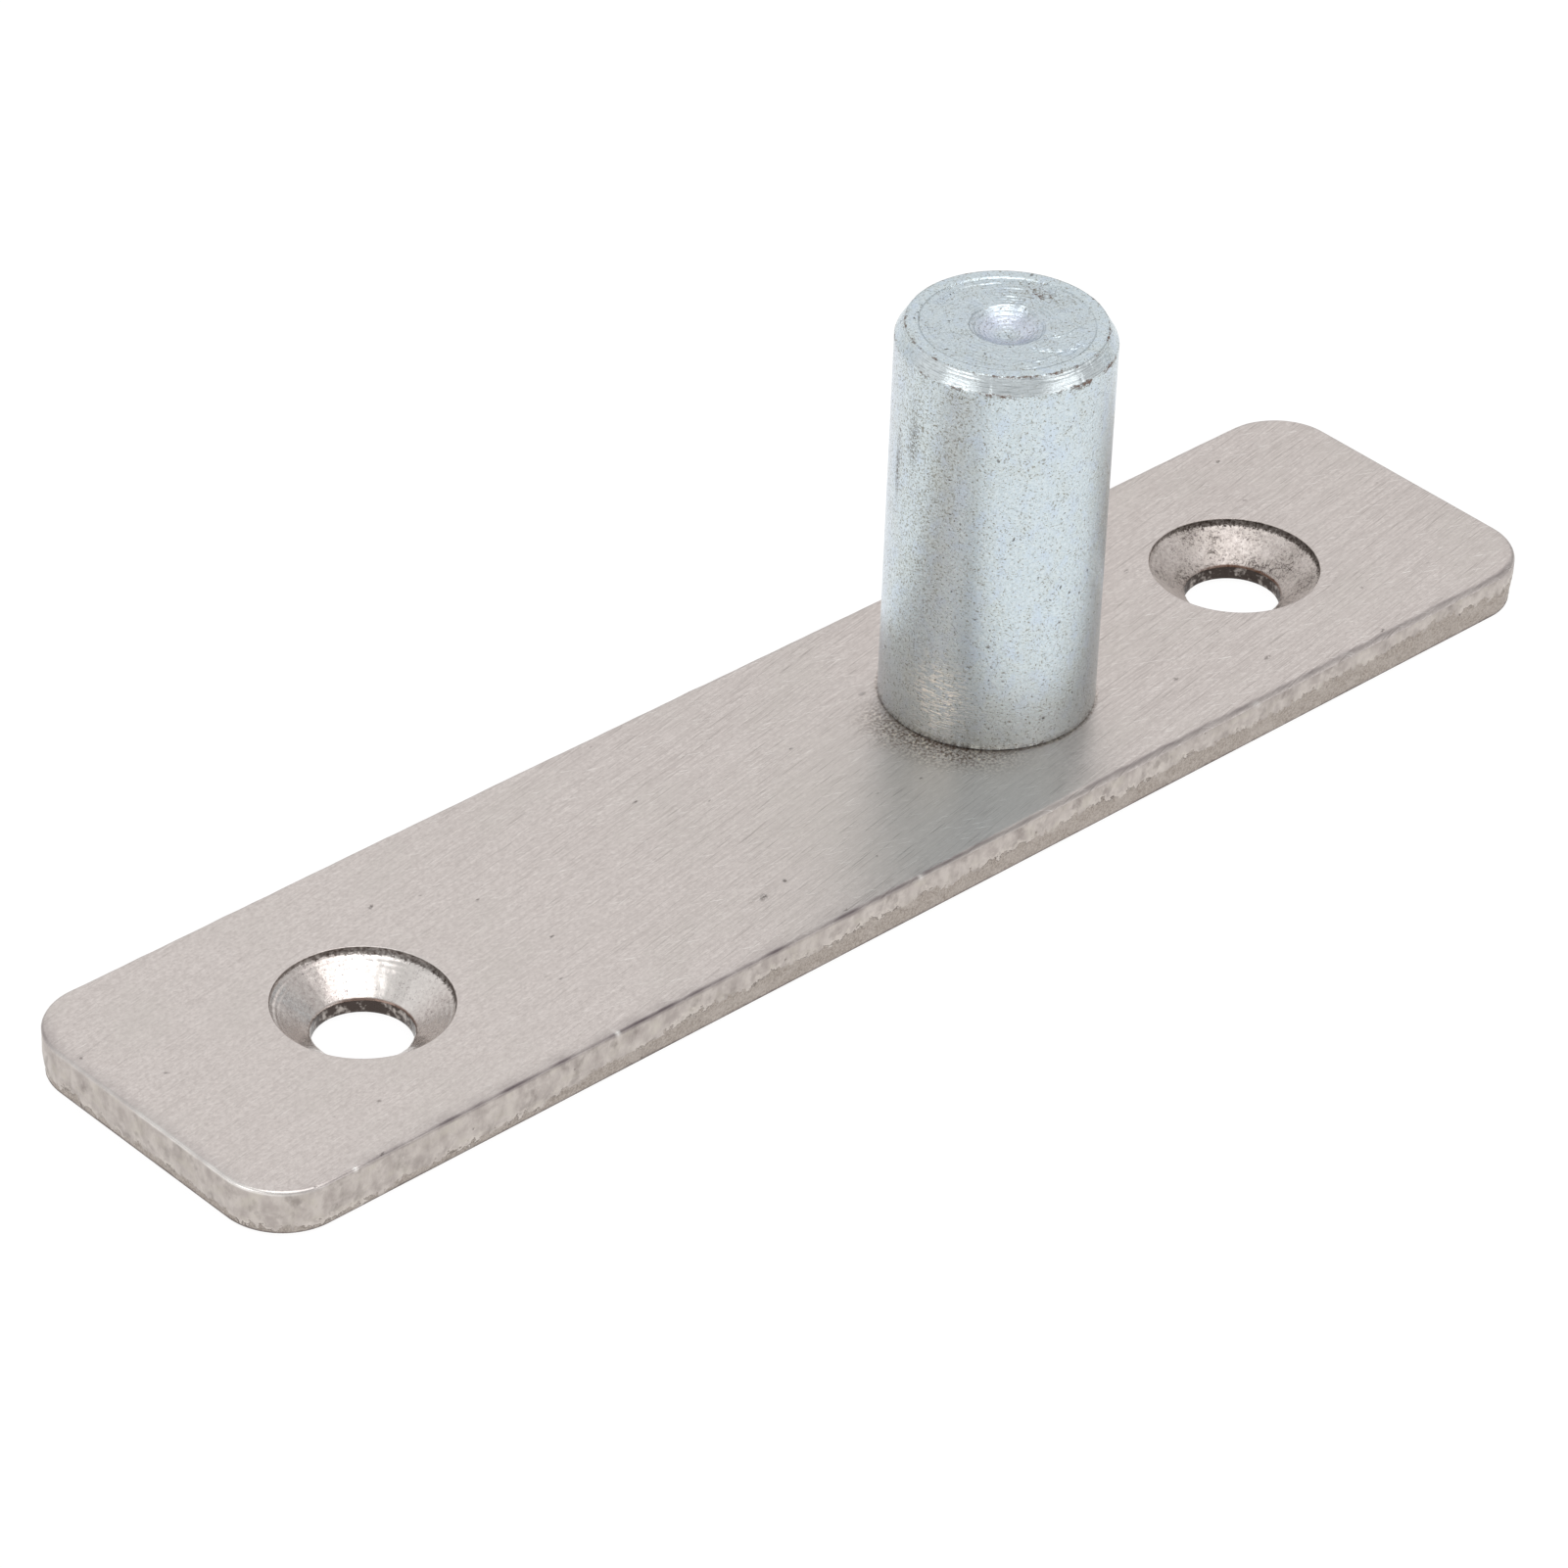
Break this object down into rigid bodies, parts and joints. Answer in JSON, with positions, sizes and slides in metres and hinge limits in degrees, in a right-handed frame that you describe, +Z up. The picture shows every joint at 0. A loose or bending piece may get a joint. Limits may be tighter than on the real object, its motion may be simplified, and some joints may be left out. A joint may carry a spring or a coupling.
{
  "type": "pivot hinge",
  "caption": "Door pivot hinge: a flat steel plate with countersunk screw holes and an upright riveted pin that the door's bush turns on.",
  "frame": {"origin": "middle of the plate's underside", "axes": "+X along the plate towards the pin's end, +Y across the plate, +Z up the pin"},
  "size_m": [0.124, 0.028, 0.0349],
  "materials": {
    "brushed_plate": "brushed stainless steel, sheared edges",
    "plated_pin": "bright zinc plate over turned steel, lightly stained"
  },
  "bodies": {
    "root": {"mounting_plate": "brushed_plate", "pivot_pin": "plated_pin"}
  },
  "joints": []
}
